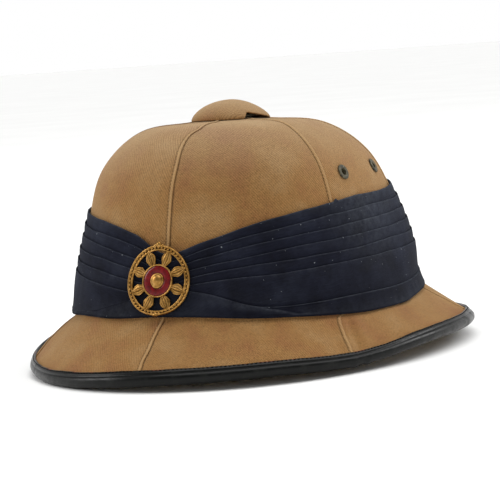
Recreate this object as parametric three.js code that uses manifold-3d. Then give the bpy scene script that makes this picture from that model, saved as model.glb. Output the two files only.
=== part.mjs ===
// A tropical sun helmet: a pith crown and brim under six sewn cloth panels, with a leather-bound brim,
// a pleated cloth band, a metal badge, a domed top ventilator and two air eyelets in each side.
// Millimetres, +Z up. The wearer faces -Y, and azimuth 0 is that front, growing towards the wearer's left, +X.
import * as THREE from 'three';
import { mergeVertices } from 'three/addons/utils/BufferGeometryUtils.js';
import Module from 'manifold-3d';

const wasm = await Module();
wasm.setup();

// Driving dimensions
const seatGap = 0.3;         // between pieces that touch
const clothThickness = 1.2;
const crown = {
  frontReach: 116,           // from the crown's axis to the cloth, at the waist
  backReach: 122,
  sideReach: 104,
  squareness: 2.25,          // exponent of the plan oval, 2 being an ellipse
  rise: 115.5,               // from the waist to the top
  topLean: 5,                // how far the very top sits ahead of the axis
};
const waist = { height: 42.5, backUp: 2.5, sideDown: 4.5 };
const shellThickness = 6.5;
const brim = { frontReach: 157.5, backReach: 169, sideReach: 137, edgeHeight: 11, sideLift: 8, edgeThickness: 4 };
const binding = { thickness: 1.1, topStrip: 5.4, underStrip: 5.5, rollRadius: 4.1, rollBack: 1.2, restFlat: 0.5 };
const band = {
  height: 68,                // from the waist to where a share of 1 in its table lies
  pleatCount: 5,
  pleatProud: 1.3,           // how far each pleat's edge stands off the pleat above it
  pleatLip: 0.4,
  lowestProud: 4,            // how far the lowest pleat's edge stands off the crown's cloth
  topProud: 2.1,             // and the topmost one's
  wrapProud: 3.2,            // and the plain wrap below the pleats
  footProud: 3,
  footDrop: 3.5,
  foldHeight: 7.5,
  foldProud: 0.7,
  innerStandOff: 1,
};
const seam = { width: 3, rise: 0.45, swing: 8 };
const vent = { holeRadius: 15.5, flangeRadius: 19, flangeThickness: 1, tubeWall: 1.5, tubeClearance: 2 };
const ventBridge = { width: 5, thickness: 2, postRadius: 2.6 };
const cap = { radius: 25.5, rise: 12, wall: 1.6, archHeight: 5, archHalfAngle: 48, dentDepth: 3.4, fullness: 1.2 };
const eyelet = {
  height: 121.3,
  spacing: 48.4,             // between the two in each side
  flangeRadius: 4.8,
  flangeThickness: 0.7,
  flangeLift: 0.15,          // the crown curves away under the flange
  barrelRadius: 3,
  boreRadius: 2.2,
};
const badge = {
  azimuth: -1.5,
  height: 65.2,              // of its middle
  halfWidth: 20.5,
  halfHeight: 21.5,
  ringWidth: 3.4,
  plate: 1.1,
  standOff: 4.6,             // from the crown's cloth to its back
};
const badgeParts = {
  petals: 8,
  petalHalfWidth: 3.2,
  bossRadius: 4.4,
  bossRise: 1.4,
  enamelRadius: 9,
  enamelFloor: 0.5,          // metal left under the enamel
  dishRim: 0.9,
  enamelDip: 0.2,            // from the dish's rim down to the enamel
  finialRadius: 1.9,
};

// Steps of the meshes
const aroundStep = 7.5;      // degrees
const panelCount = 6;

// Crown profile: angle up from the waist, reach as a share of the plain oval dome, and what the front adds to it.
const crownProfile = [
  { angle: 0, reach: 1.0, front: 0 },
  { angle: 15, reach: 1.0, front: -0.025 },
  { angle: 30, reach: 1.033, front: -0.015 },
  { angle: 45, reach: 1.097, front: 0.012 },
  { angle: 60, reach: 1.092, front: 0.02 },
  { angle: 75, reach: 1.02, front: 0.007 },
  { angle: 90, reach: 1.0, front: 0 },
];

// Brim edge: reach as a share of the plain oval, lift as a share of brim.sideLift.
const brimEdge = [
  { azimuth: 0, reach: 1.0, lift: 0.17 },
  { azimuth: 30, reach: 0.99, lift: 0.31 },
  { azimuth: 60, reach: 0.98, lift: 0.15 },
  { azimuth: 90, reach: 1.0, lift: 1.0 },
  { azimuth: 120, reach: 1.03, lift: 0.9 },
  { azimuth: 150, reach: 1.0, lift: 0.41 },
  { azimuth: 180, reach: 1.0, lift: -0.14 },
  { azimuth: 210, reach: 1.0, lift: 0.41 },
  { azimuth: 240, reach: 1.03, lift: 0.9 },
  { azimuth: 270, reach: 1.0, lift: 0.94 },
  { azimuth: 300, reach: 1.0, lift: 0.19 },
  { azimuth: 330, reach: 1.0, lift: -0.15 },
];

// Band edges as shares of band.height above the waist: its top and its lowest pleat. Then how far the foot's fold
// shows, and how far the foot drops on to the brim, as a share of band.footDrop.
const bandEdges = [
  { azimuth: 0, top: 0.55, lowest: 0.22, fold: 0, drop: 0.4 },
  { azimuth: 12, top: 0.64, lowest: 0.29, fold: 0, drop: 0.6 },
  { azimuth: 30, top: 0.8, lowest: 0.35, fold: 0.6, drop: 0.9 },
  { azimuth: 60, top: 0.965, lowest: 0.43, fold: 1, drop: 0.9 },
  { azimuth: 90, top: 1.01, lowest: 0.46, fold: 1, drop: 0.5 },
  { azimuth: 135, top: 0.95, lowest: 0.38, fold: 1, drop: 0.4 },
  { azimuth: 180, top: 0.87, lowest: 0.32, fold: 1, drop: 0.4 },
  { azimuth: 225, top: 0.95, lowest: 0.38, fold: 1, drop: 0.4 },
  { azimuth: 270, top: 1.02, lowest: 0.46, fold: 1, drop: 0.2 },
  { azimuth: 300, top: 1.0, lowest: 0.45, fold: 0.5, drop: -0.2 },
  { azimuth: 330, top: 0.875, lowest: 0.34, fold: 0, drop: 0 },
  { azimuth: 348, top: 0.73, lowest: 0.23, fold: 0, drop: 0.3 },
];

const rad = THREE.MathUtils.degToRad;
const mix = THREE.MathUtils.lerp;

// A smooth curve through a table's column, round the whole circle for a table of azimuths.
function curveThrough(rows, at, column) {
  const closed = at === 'azimuth';
  const row = (i) => {
    const n = rows.length;
    if (!closed) {
      const held = rows[THREE.MathUtils.clamp(i, 0, n - 1)];
      return { x: held[at], y: held[column] };
    }
    const turn = Math.floor(i / n);
    return { x: rows[i - turn * n][at] + 360 * turn, y: rows[i - turn * n][column] };
  };
  const slope = (i) => {
    const a = row(i - 1);
    const b = row(i + 1);
    return (b.y - a.y) / (b.x - a.x);
  };
  return (x) => {
    const at360 = closed ? THREE.MathUtils.euclideanModulo(x, 360) : x;
    let i = 0;
    while (i < rows.length - (closed ? 1 : 2) && row(i + 1).x <= at360) i++;
    const a = row(i);
    const b = row(i + 1);
    const span = b.x - a.x;
    const s = (at360 - a.x) / span;
    const pull = (b.y - a.y) * (3 - 2 * s) * s * s;
    return a.y + pull + span * s * (1 - s) * (slope(i) * (1 - s) - slope(i + 1) * s);
  };
}

const crownReach = curveThrough(crownProfile, 'angle', 'reach');
const crownFront = curveThrough(crownProfile, 'angle', 'front');
const edgeReach = curveThrough(brimEdge, 'azimuth', 'reach');
const edgeLift = curveThrough(brimEdge, 'azimuth', 'lift');
const bandTop = curveThrough(bandEdges, 'azimuth', 'top');
const bandLowest = curveThrough(bandEdges, 'azimuth', 'lowest');
const bandFold = curveThrough(bandEdges, 'azimuth', 'fold');
const bandDrop = curveThrough(bandEdges, 'azimuth', 'drop');

// Radius of an egg-shaped oval at an azimuth.
function oval(size, azimuth, exponent) {
  const c = Math.cos(rad(azimuth));
  const s = Math.sin(rad(azimuth));
  const long = c > 0 ? size.frontReach : size.backReach;
  return (Math.abs(c / long) ** exponent + Math.abs(s / size.sideReach) ** exponent) ** (-1 / exponent);
}

function atAzimuth(azimuth, radius, height) {
  return new THREE.Vector3(radius * Math.sin(rad(azimuth)), -radius * Math.cos(rad(azimuth)), height);
}

function waistHeight(azimuth) {
  return waist.height - waist.backUp * Math.cos(rad(azimuth)) + waist.sideDown * Math.cos(rad(2 * azimuth));
}

// On the brim the side seams swing forward, which moves all that is placed by azimuth there with them.
function edgeAzimuth(azimuth) {
  const fromFront = THREE.MathUtils.euclideanModulo(azimuth + 180, 360) - 180;
  if (Math.abs(fromFront) > 120) return azimuth;
  return azimuth - Math.sign(fromFront) * seam.swing * Math.sin(rad(1.5 * fromFront)) ** 2;
}

// The cloth's outer face before the bend at the waist is rounded: 0 is the top, 1 the waist and 2 the brim's edge.
function sharpFace(azimuth, along) {
  if (along > 1) {
    const swung = edgeAzimuth(azimuth);
    const edgeRadius = oval(brim, swung, 2) * edgeReach(swung);
    const edge = atAzimuth(swung, edgeRadius, brim.edgeHeight + edgeLift(swung) * brim.sideLift);
    return sharpFace(azimuth, 1).lerp(edge, along - 1);
  }
  const angle = 90 * (1 - along);
  const reach = crownReach(angle) + crownFront(angle) * Math.cos(rad(azimuth));
  const up = reach * Math.sin(rad(angle));
  const point = atAzimuth(azimuth, oval(crown, azimuth, crown.squareness) * reach * Math.cos(rad(angle)), 0);
  point.y -= crown.topLean * Math.sin(rad(angle)) ** 4;
  point.z = mix(waistHeight(azimuth), waist.height, Math.min(up, 1)) + crown.rise * up;
  return point;
}

const waistBend = 0.1;       // how much of each side the rounded bend takes
function face(azimuth, along) {
  if (Math.abs(along - 1) >= waistBend) return sharpFace(azimuth, along);
  const s = (along - 1 + waistBend) / (2 * waistBend);
  const above = sharpFace(azimuth, 1 - waistBend).multiplyScalar((1 - s) ** 2);
  const middle = sharpFace(azimuth, 1).multiplyScalar(2 * s * (1 - s));
  return sharpFace(azimuth, 1 + waistBend).multiplyScalar(s * s).add(above).add(middle);
}

function faceNormal(azimuth, along) {
  const across = face(azimuth + 0.5, along).sub(face(azimuth - 0.5, along));
  const down = face(azimuth, along + 0.005).sub(face(azimuth, along - 0.005));
  return down.cross(across).normalize();
}

// A point a distance out from the cloth's outer face.
function offFace(azimuth, along, out) {
  return face(azimuth, along).addScaledVector(faceNormal(azimuth, along), out);
}

// Where along the face a height or a distance from the ventilator's axis is reached, by halving.
function alongWhere(azimuth, reached) {
  let low = 0.005;
  let high = 1.1;
  for (let i = 0; i < 40; i++) {
    const middle = (low + high) / 2;
    if (reached(face(azimuth, middle))) high = middle;
    else low = middle;
  }
  return high;
}
const alongAtHeight = (azimuth, height) => alongWhere(azimuth, (p) => p.z <= height);
const alongAtVent = (azimuth, radius) => alongWhere(azimuth, (p) => Math.hypot(p.x, p.y + crown.topLean) >= radius);

// Meshes from profiles
const samePlace = (a, b) => a.distanceToSquared(b) < 1e-8;

// Joins closed profiles of equal length, round a ring or between two ends that are closed by strips. From turnBack
// on, a profile runs back under its first stretch, and its squares are split to match, so that layers stay apart.
function sweep(profiles, ring, turnBack = profiles[0].length / 2 - 1) {
  const corners = [];
  const triangle = (a, b, c) => {
    if (samePlace(a, b) || samePlace(b, c) || samePlace(c, a)) return;
    corners.push(a, b, c);
  };
  const quad = (a, b, c, d) => {
    triangle(a, b, c);
    triangle(a, c, d);
  };
  const count = profiles[0].length;
  const last = ring ? profiles.length : profiles.length - 1;
  for (let i = 0; i < last; i++) {
    const here = profiles[i];
    const next = profiles[(i + 1) % profiles.length];
    for (let j = 0; j < count; j++) {
      const k = (j + 1) % count;
      if (j < turnBack) quad(here[j], here[k], next[k], next[j]);
      else quad(next[j], here[j], here[k], next[k]);
    }
  }
  if (!ring) {
    const start = profiles[0];
    const end = profiles[profiles.length - 1];
    for (let j = 0; j < count / 2 - 1; j++) {
      const [a, b, c, d] = [j, j + 1, count - 2 - j, count - 1 - j];
      quad(start[a], start[d], start[c], start[b]);
      quad(end[a], end[b], end[c], end[d]);
    }
  }
  return new THREE.BufferGeometry().setFromPoints(corners);
}

function solid(geometry) {
  const plain = geometry.index ? geometry.toNonIndexed() : geometry.clone();
  plain.deleteAttribute('normal');
  plain.deleteAttribute('uv');
  const merged = mergeVertices(plain, 1e-4);
  const vertProperties = new Float32Array(merged.getAttribute('position').array);
  const triVerts = new Uint32Array(merged.index.array);
  return new wasm.Manifold(new wasm.Mesh({ numProp: 3, vertProperties, triVerts }));
}

function geometryOf(manifold) {
  const mesh = manifold.getMesh();
  const geometry = new THREE.BufferGeometry();
  geometry.setAttribute('position', new THREE.BufferAttribute(new Float32Array(mesh.vertProperties), 3));
  geometry.setIndex(new THREE.BufferAttribute(mesh.triVerts, 1));
  return geometry;
}

const cut = (geometry, cutters) => geometryOf(cutters.reduce((made, c) => made.subtract(c), solid(geometry)));
const join = (geometries) => geometryOf(geometries.map(solid).reduce((made, g) => made.add(g)));

// A turned shape from a closed or axis-to-axis profile of [radius, height] pairs, with its axis along +Z.
function turned(profile, segments) {
  const points = profile.map(([r, z]) => new THREE.Vector2(r, z));
  return new THREE.LatheGeometry(points, segments).rotateX(Math.PI / 2);
}

// Colours and finishes
const khakiDrill = new THREE.MeshStandardMaterial({ color: 0xa98455, roughness: 0.95, metalness: 0 });
const pith = new THREE.MeshStandardMaterial({ color: 0xb9a27c, roughness: 1, metalness: 0 });
const navyCotton = new THREE.MeshStandardMaterial({ color: 0x1c1f2b, roughness: 0.9, metalness: 0 });
const blackLeather = new THREE.MeshStandardMaterial({ color: 0x1d1f1e, roughness: 0.45, metalness: 0 });
const paintedBrass = new THREE.MeshStandardMaterial({ color: 0x4a4a3c, roughness: 0.5, metalness: 0.6 });
const giltBrass = new THREE.MeshStandardMaterial({ color: 0xb08a4a, roughness: 0.4, metalness: 1 });
const redEnamel = new THREE.MeshStandardMaterial({ color: 0x4d1018, roughness: 0.2, metalness: 0 });

const helmet = new THREE.Group();
function add(name, geometry, material) {
  const mesh = new THREE.Mesh(geometry, material);
  mesh.name = name;
  helmet.add(mesh);
  return mesh;
}

const ringAzimuths = [];
for (let azimuth = 0; azimuth < 360; azimuth += aroundStep) ringAzimuths.push(azimuth);

// Stations down the face, from the ventilator's hole to the brim's edge
const clothStations = [0.19, 0.27, 0.35, 0.43, 0.52, 0.63, 0.77, 0.9, 1.0, 1.1, 2.0];
const innerStations = [0.27, 0.43, 0.65, 0.9, 1.0];
function fromVent(azimuth, below) {
  return [alongAtVent(azimuth, vent.holeRadius), ...below];
}

// Air eyelets, two in each side
const eyeletReach = face(90, alongAtHeight(90, eyelet.height)).x;
const eyeletTurn = THREE.MathUtils.radToDeg(Math.asin(eyelet.spacing / 2 / eyeletReach));
const eyeletPlaces = [-90, 90].flatMap((side) => [side - eyeletTurn, side + eyeletTurn]);
function eyeletFrame(azimuth) {
  const along = alongAtHeight(azimuth, eyelet.height);
  const turn = new THREE.Quaternion().setFromUnitVectors(new THREE.Vector3(0, 0, 1), faceNormal(azimuth, along));
  return new THREE.Matrix4().compose(face(azimuth, along), turn, new THREE.Vector3(1, 1, 1));
}
const barrelDepth = clothThickness + seatGap + shellThickness;
const eyeletDrills = eyeletPlaces.map((azimuth) => {
  const radius = eyelet.barrelRadius + seatGap;
  const drill = new THREE.CylinderGeometry(radius, radius, 4 * barrelDepth, 12);
  return solid(drill.rotateX(Math.PI / 2).applyMatrix4(eyeletFrame(azimuth)));
});

// Pith shell: a hollow crown with the ventilator's hole and the four air holes, and the brim that meets it at the
// waist
const shellOuter = -(clothThickness + seatGap);
function shellProfile(azimuth, outerStations, innerStations) {
  const depth = (along) => mix(shellThickness, brim.edgeThickness, THREE.MathUtils.clamp(along - 1, 0, 1));
  const outer = outerStations.map((along) => offFace(azimuth, along, shellOuter));
  const inner = innerStations.map((along) => offFace(azimuth, along, shellOuter - depth(along)));
  return [...outer, ...inner.reverse()];
}
const crownStations = clothStations.filter((along) => along <= 1);
const crownShell = ringAzimuths.map((azimuth) => (
  shellProfile(azimuth, fromVent(azimuth, crownStations), fromVent(azimuth, innerStations))
));
add('pith_crown', cut(sweep(crownShell, true, crownStations.length), eyeletDrills), pith);
const brimStations = clothStations.filter((along) => along > 1);
const brimShell = ringAzimuths.map((azimuth) => {
  const step = 0.01;
  const start = 1 + (step * seatGap) / face(azimuth, 1).distanceTo(face(azimuth, 1 + step));
  return shellProfile(azimuth, [start, ...brimStations], [start, 2]);
});
add('pith_brim', sweep(brimShell, true, brimStations.length), pith);

// Cloth panels, with a raised fold down one edge of each seam
function panelAzimuths(first) {
  const list = [];
  for (let azimuth = first; azimuth <= first + 360 / panelCount; azimuth += aroundStep) list.push(azimuth);
  return list;
}
function panelProfile(azimuth, seamSide, fromSeam, rise) {
  const outer = [];
  const inner = [];
  for (const along of fromVent(azimuth, clothStations)) {
    const radius = Math.hypot(face(azimuth, along).x, face(azimuth, along).y);
    const shifted = azimuth + seamSide * THREE.MathUtils.radToDeg(fromSeam / radius);
    outer.push(offFace(shifted, along, rise));
    inner.push(offFace(shifted, along, -clothThickness));
  }
  return [...outer, ...inner.reverse()];
}
const panelNames = ['left_front', 'left_side', 'left_back', 'right_back', 'right_side', 'right_front'];
panelNames.forEach((name, i) => {
  const azimuths = panelAzimuths((i * 360) / panelCount);
  const first = azimuths[0];
  const last = azimuths[azimuths.length - 1];
  const profiles = azimuths.slice(1, -1).map((azimuth) => panelProfile(azimuth, 0, 0, 0));
  const foldFoot = panelProfile(last, -1, seam.width, seam.rise * 0.6);
  const foldedEdge = panelProfile(last, -1, seatGap / 2, seam.rise);
  profiles.unshift(panelProfile(first, 1, seatGap / 2, 0));
  profiles.push(foldFoot, foldedEdge);
  const drills = eyeletDrills.filter((_, k) => {
    const azimuth = THREE.MathUtils.euclideanModulo(eyeletPlaces[k], 360);
    return azimuth > first && azimuth < last;
  });
  add('cloth_panel_' + name, cut(sweep(profiles, false), drills), khakiDrill);
});

// Leather binding, a rolled channel round the brim's edge, worn flat where the helmet stands on it
const brimThickness = clothThickness + seatGap + brim.edgeThickness;
function bindingProfile(azimuth) {
  const edge = face(azimuth, 2);
  const outward = faceNormal(azimuth, 1.98);
  const downhill = face(azimuth, 2).sub(face(azimuth, 1.9)).normalize();
  const slip = seam.rise + seatGap;
  const at = (run, rise) => edge.clone().addScaledVector(downhill, run).addScaledVector(outward, rise);
  const { thickness, topStrip, underStrip, rollRadius, rollBack } = binding;
  const top = slip + thickness;
  const under = -(brimThickness + seatGap);
  const taper = ((shellThickness - brim.edgeThickness) * underStrip) / edge.distanceTo(face(azimuth, 1));
  const roll = [80, 40, 0, -40, -80].map((turn) => {
    const run = rollRadius * Math.cos(rad(turn)) - rollBack;
    return at(run, rollRadius * Math.sin(rad(turn)) - brimThickness / 2);
  });
  return [
    at(-topStrip, top * 0.9),
    at(-1.4 * rollBack, top),
    ...roll,
    at(-underStrip, under - taper - thickness),
    at(-underStrip, under - taper),
    at(seatGap, under),
    at(seatGap, slip),
    at(-topStrip, slip),
  ];
}
const bindingRing = sweep(ringAzimuths.map(bindingProfile), true);
bindingRing.computeBoundingBox();
const restHeight = bindingRing.boundingBox.min.z + binding.restFlat;
const table = new THREE.BoxGeometry(4 * brim.backReach, 4 * brim.backReach, 2 * brim.edgeHeight);
table.translate(0, 0, restHeight - brim.edgeHeight);
add('edge_binding', cut(bindingRing, [solid(table)]), blackLeather);

// Pleated band round the crown. Each pleat's upper edge laps over the one above it.
const bandAzimuths = ringAzimuths.flatMap((azimuth) => {
  const nearFront = azimuth < 22.5 || azimuth >= 337.5;
  return nearFront ? [azimuth, azimuth + aroundStep / 2] : [azimuth];
});
function bandProfile(azimuth) {
  const foot = waistHeight(azimuth);
  const heightAt = (share) => foot + share * band.height;
  const top = bandTop(azimuth);
  const lowest = bandLowest(azimuth);
  const at = (height, out) => {
    const along = alongAtHeight(azimuth, height);
    return face(azimuth, along).addScaledVector(faceNormal(azimuth, along).setZ(0).normalize(), out);
  };
  const points = [];
  for (let pleat = 0; pleat <= band.pleatCount; pleat++) {
    const share = pleat / band.pleatCount;
    const proud = mix(band.topProud, band.lowestProud, share);
    const edge = heightAt(mix(top, lowest, share));
    if (pleat > 0) points.push(at(edge + band.pleatLip, proud - band.pleatProud));
    points.push(at(edge, proud));
  }
  const fold = bandFold(azimuth);
  const foldEdge = foot + band.foldHeight;
  points.push(at(mix(foldEdge, heightAt(lowest), 0.5), band.wrapProud));
  points.push(at(foldEdge + band.pleatLip, band.wrapProud - 0.4 * band.foldProud * fold));
  points.push(at(foldEdge, band.wrapProud + band.foldProud * fold));
  const footEdge = foot + band.innerStandOff - bandDrop(azimuth) * band.footDrop;
  points.push(at(footEdge, band.footProud));
  points.push(at(footEdge - band.pleatLip / 2, mix(band.innerStandOff, band.footProud, 0.35)));
  for (const share of [0.35, 0.7]) {
    points.push(at(mix(foot, heightAt(top), share), band.innerStandOff));
  }
  points.push(at(heightAt(top), band.innerStandOff));
  return points;
}
add('pleated_band', sweep(bandAzimuths.map(bandProfile), true), navyCotton);

// Ventilator collar: a flanged tube in the crown's hole, with a bar and a post that carry the cap
const ventTop = face(0, alongAtVent(0, vent.holeRadius)).z;
const ventCentre = new THREE.Vector3(0, -crown.topLean, ventTop);
const tubeRadius = vent.holeRadius - vent.tubeClearance;
const flangeFoot = seatGap + seam.rise;
const flangeTop = flangeFoot + vent.flangeThickness;
const tubeFoot = -(barrelDepth + seatGap);
const collarTube = turned([
  [tubeRadius - vent.tubeWall, tubeFoot],
  [tubeRadius, tubeFoot],
  [tubeRadius, flangeFoot],
  [vent.flangeRadius, flangeFoot],
  [vent.flangeRadius, flangeTop],
  [tubeRadius - vent.tubeWall, flangeTop],
  [tubeRadius - vent.tubeWall, tubeFoot],
], 16);
const bar = new THREE.BoxGeometry(2 * tubeRadius - vent.tubeWall, ventBridge.width, ventBridge.thickness);
bar.translate(0, 0, flangeTop - ventBridge.thickness / 2);
const postTop = cap.rise - cap.wall - seatGap - 0.15 * cap.dentDepth;
const postLength = postTop - flangeTop + ventBridge.thickness / 2;
const post = new THREE.CylinderGeometry(ventBridge.postRadius, ventBridge.postRadius, postLength, 12);
post.rotateX(Math.PI / 2).translate(0, 0, postTop - postLength / 2);
add('vent_collar', join([collarTube, bar, post]), paintedBrass).position.copy(ventCentre);

// Ventilator cap: a cloth-covered dome, arched open at both sides and dented over the left arch
function archLift(azimuth) {
  const side = azimuth < 180 ? 90 : 270;
  const turn = Math.abs(azimuth - side) / cap.archHalfAngle;
  return turn < 1 ? cap.archHeight * (1 - turn ** 4) : 0;
}
function capPoint(azimuth, share, wall) {
  const radius = cap.radius - wall;
  const foot = face(azimuth, alongAtVent(azimuth, cap.radius)).z - ventTop + seam.rise + seatGap;
  const start = Math.asin(Math.min(archLift(azimuth) / cap.rise, 1) ** (1 / cap.fullness));
  const angle = mix(start, Math.PI / 2, share);
  const out = radius * Math.cos(angle);
  const dentSide = Math.max(0, Math.cos(rad(azimuth - 90)));
  const dent = cap.dentDepth * dentSide ** 2 * (out / radius) ** 1.5 * Math.sin(angle);
  const height = foot * Math.cos(angle) ** 2 + (cap.rise - wall) * Math.sin(angle) ** cap.fullness - dent;
  return atAzimuth(azimuth, out, height);
}
const capStep = 11.25;       // degrees
const capAzimuths = Array.from({ length: 360 / capStep }, (_, i) => i * capStep);
const capProfiles = capAzimuths.map((azimuth) => {
  const shares = [0, 0.16, 0.34, 0.54, 0.76, 1];
  const outer = shares.map((share) => capPoint(azimuth, share, 0)).reverse();
  const inner = shares.map((share) => capPoint(azimuth, share, cap.wall));
  return [...outer, ...inner];
});
add('vent_cap', sweep(capProfiles, true), khakiDrill).position.copy(ventCentre);

// Metal air eyelets
const eyeletLift = seatGap + eyelet.flangeLift;
const eyeletProfile = [
  [eyelet.boreRadius, -barrelDepth],
  [eyelet.barrelRadius, -barrelDepth],
  [eyelet.barrelRadius, eyeletLift],
  [eyelet.flangeRadius, eyeletLift],
  [eyelet.flangeRadius * 0.94, eyeletLift + eyelet.flangeThickness * 0.7],
  [mix(eyelet.boreRadius, eyelet.flangeRadius, 0.45), eyeletLift + eyelet.flangeThickness],
  [eyelet.boreRadius, eyeletLift + eyelet.flangeThickness * 0.4],
  [eyelet.boreRadius, -barrelDepth],
];
const eyeletNames = ['right_back', 'right_front', 'left_front', 'left_back'];
eyeletPlaces.forEach((azimuth, i) => {
  const mesh = add('eyelet_' + eyeletNames[i], turned(eyeletProfile, 10), paintedBrass);
  mesh.applyMatrix4(eyeletFrame(azimuth));
});

// Badge: a beaded oval frame, eight ribbed petals round an enamelled ring, and a domed boss, bent to the band
function badgeOval(turn, inset) {
  return [(badge.halfWidth - inset) * Math.cos(turn), (badge.halfHeight - inset) * Math.sin(turn)];
}
const frameSteps = 25;
const frameProfiles = [];
for (let i = 0; i < frameSteps; i++) {
  const turn = (2 * Math.PI * i) / frameSteps;
  const at = (share, out) => new THREE.Vector3(...badgeOval(turn, share * badge.ringWidth), out * badge.plate);
  frameProfiles.push([at(1, 0), at(1, 0.8), at(0.75, 1.3), at(0.5, 0.9), at(0.25, 1.6), at(0, 1), at(0, 0)]);
}
const petalSections = [
  { along: 0, half: 0.5, ridge: 1 },
  { along: 0.45, half: 1, ridge: 1.7 },
  { along: 0.8, half: 0.75, ridge: 1.5 },
  { along: 1, half: 0.3, ridge: 1.1 },
];
function petal(turn) {
  const start = badgeParts.enamelRadius + badgeParts.dishRim / 2;
  const end = Math.hypot(...badgeOval(turn, badge.ringWidth * 0.8));
  const sections = petalSections.map(({ along, half, ridge }) => {
    const run = mix(start, end, along);
    const wide = half * badgeParts.petalHalfWidth;
    const at = (side, out) => {
      const x = run * Math.cos(turn) - side * wide * Math.sin(turn);
      return new THREE.Vector3(x, run * Math.sin(turn) + side * wide * Math.cos(turn), out * badge.plate);
    };
    return [at(1, 0), at(1, 0.7), at(0, ridge), at(-1, 0.7), at(-1, 0), at(0, 0)];
  });
  return sweep(sections, false);
}
const rimTop = badge.plate * 1.7;
const dish = turned([
  [0, 0],
  [badgeParts.enamelRadius + badgeParts.dishRim, 0],
  [badgeParts.enamelRadius + badgeParts.dishRim, rimTop],
  [badgeParts.enamelRadius, rimTop],
  [badgeParts.enamelRadius, badgeParts.enamelFloor],
  [badgeParts.bossRadius, badgeParts.enamelFloor],
  [badgeParts.bossRadius, rimTop],
  [badgeParts.bossRadius * 0.75, rimTop + badgeParts.bossRise * 0.7],
  [badgeParts.bossRadius * 0.4, rimTop + badgeParts.bossRise],
  [0, rimTop + badgeParts.bossRise],
], 20);
const finials = [0.5, 1.5].map((half) => {
  const turn = half * Math.PI;
  const [x, y] = badgeOval(turn, 0);
  return new THREE.SphereGeometry(badgeParts.finialRadius, 8, 5).scale(1, 1, 0.6).translate(x, y, badge.plate);
});
const petals = [];
for (let i = 0; i < badgeParts.petals; i++) petals.push(petal(((i + 0.5) * 2 * Math.PI) / badgeParts.petals));
function ontoBand(geometry) {
  const position = geometry.getAttribute('position');
  const reach = -face(0, alongAtHeight(0, badge.height)).y;
  for (let i = 0; i < position.count; i++) {
    const azimuth = badge.azimuth + THREE.MathUtils.radToDeg(position.getX(i) / reach);
    const height = badge.height + position.getY(i);
    const point = offFace(azimuth, alongAtHeight(azimuth, height), badge.standOff + position.getZ(i));
    position.setXYZ(i, point.x, point.y, point.z);
  }
  return geometry;
}
const badgeMetal = join([sweep(frameProfiles, true), dish, ...petals, ...finials]);
add('badge_frame', ontoBand(badgeMetal), giltBrass);
const enamelFoot = badgeParts.enamelFloor + seatGap;
const enamel = turned([
  [badgeParts.bossRadius + seatGap, enamelFoot],
  [badgeParts.enamelRadius - seatGap, enamelFoot],
  [badgeParts.enamelRadius - seatGap, rimTop - badgeParts.enamelDip],
  [badgeParts.bossRadius + seatGap, rimTop - badgeParts.enamelDip],
  [badgeParts.bossRadius + seatGap, enamelFoot],
], 20);
add('badge_enamel', ontoBand(geometryOf(solid(enamel))), redEnamel);

// The group stands on its binding, with the origin under its middle.
helmet.updateMatrixWorld(true);
const bounds = new THREE.Box3().setFromObject(helmet, true);
const middle = bounds.getCenter(new THREE.Vector3());
helmet.position.set(-middle.x, -middle.y, -bounds.min.z);

export default helmet;
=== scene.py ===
import functools
import math

import bmesh
import bpy
import numpy as np
from mathutils import Matrix, Vector


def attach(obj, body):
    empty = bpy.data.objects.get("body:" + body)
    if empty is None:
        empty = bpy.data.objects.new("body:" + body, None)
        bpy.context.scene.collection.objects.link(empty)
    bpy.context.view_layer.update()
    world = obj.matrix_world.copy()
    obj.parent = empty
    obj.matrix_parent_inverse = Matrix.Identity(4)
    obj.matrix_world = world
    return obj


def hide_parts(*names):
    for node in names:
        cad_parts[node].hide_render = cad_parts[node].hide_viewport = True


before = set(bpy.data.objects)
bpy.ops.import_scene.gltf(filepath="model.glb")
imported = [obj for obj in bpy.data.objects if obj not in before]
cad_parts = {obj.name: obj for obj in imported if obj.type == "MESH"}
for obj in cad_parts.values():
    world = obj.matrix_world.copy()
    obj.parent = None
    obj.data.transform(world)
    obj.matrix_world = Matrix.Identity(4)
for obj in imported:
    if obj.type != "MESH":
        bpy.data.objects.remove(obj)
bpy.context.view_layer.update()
print("frame loaded:", len(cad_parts), "nodes")

# Sizes in mm, as the model has them
crown = {
    "frontReach": 116,
    "backReach": 122,
    "sideReach": 104,
    "squareness": 2.25,
    "rise": 115.5,
    "topLean": 5,
}
waist = {"height": 42.5, "backUp": 2.5, "sideDown": 4.5, "bend": 0.1}
brim = {
    "frontReach": 157.5,
    "backReach": 169,
    "sideReach": 137,
    "edgeHeight": 11,
    "sideLift": 8,
    "swell": 3.6,    # how much fuller it is where the edge's fullness is 1
}
shiftToFrame = np.array([-0.086, -5.723, -5.012])    # from these sizes to the model's place

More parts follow.
